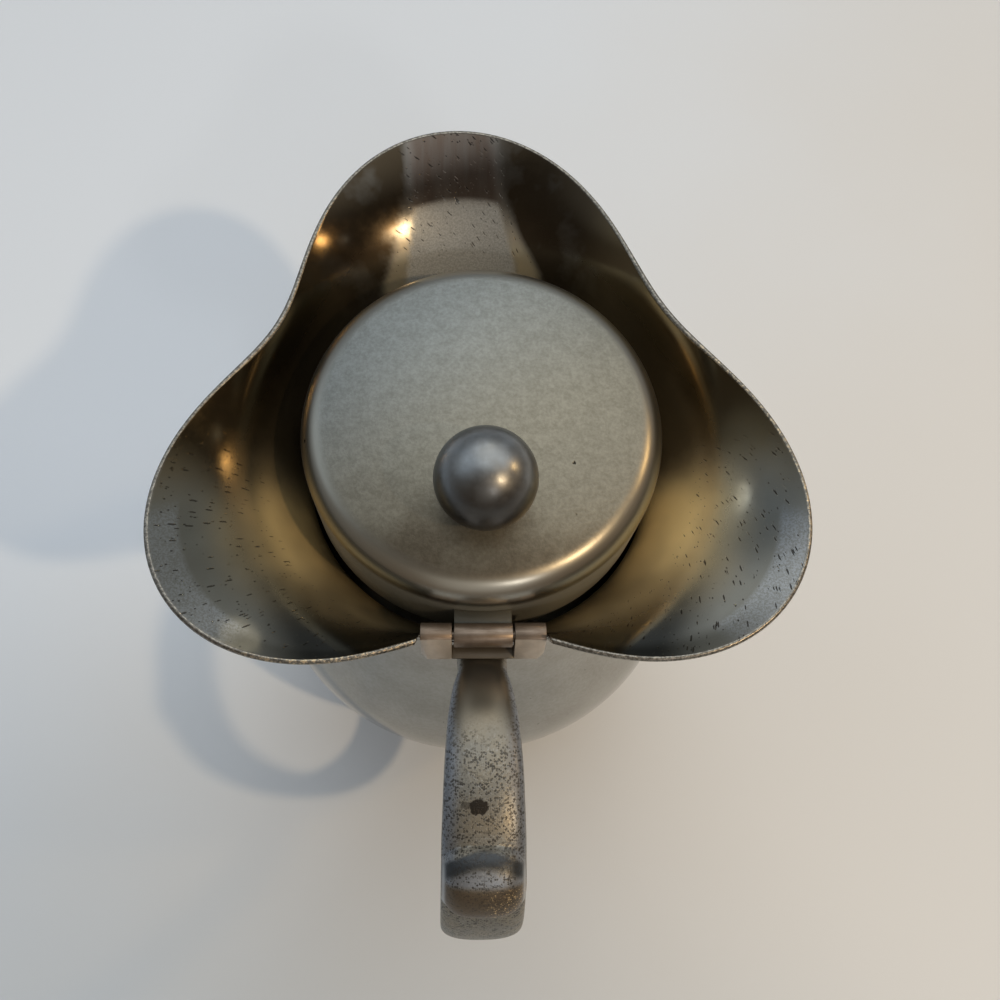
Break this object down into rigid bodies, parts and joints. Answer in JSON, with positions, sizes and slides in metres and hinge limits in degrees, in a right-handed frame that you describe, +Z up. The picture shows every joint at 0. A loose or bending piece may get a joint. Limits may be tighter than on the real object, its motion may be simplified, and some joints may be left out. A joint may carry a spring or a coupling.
{
  "type": "lidded jug",
  "caption": "Round-bellied pewter jug with a tricorn flared brim for pouring, a domed lid with a ball knob hinged at the back, and a strap handle with a thumb rest.",
  "frame": {"origin": "centre of the ring that the foot stands on, on the body's axis", "axes": "+Z up along the body's axis, +Y to the front corner of the brim, hinge and handle towards -Y"},
  "size_m": [0.0981, 0.1273, 0.1233],
  "materials": {
    "pewter_body": "old polish, softly glossy",
    "pewter_brim": "polished inside, fine pits, worn bright edge",
    "pewter_handle": "cast, mottled and speckled with oxide",
    "pewter_lid": "satin, lightly mottled",
    "hinge_brass": "dull pale brass"
  },
  "bodies": {
    "jug": {"foot_ring": "pewter_body", "lower_bowl": "pewter_body", "upper_bowl": "pewter_body", "tricorn_brim": "pewter_brim", "handle": "pewter_handle", "hinge_bracket": "hinge_brass", "hinge_pin": "hinge_brass"},
    "lid": {"lid_shell": "pewter_lid", "lid_bezel": "pewter_lid", "lid_knuckle": "hinge_brass", "ball_knob": "pewter_lid"}
  },
  "joints": [
    {"name": "lid_hinge", "type": "hinge", "parent": "jug", "child": "lid", "pos_m": [0, -0.0317, 0.1], "axis": [1, 0, 0], "range_deg": [0, 110]}
  ]
}
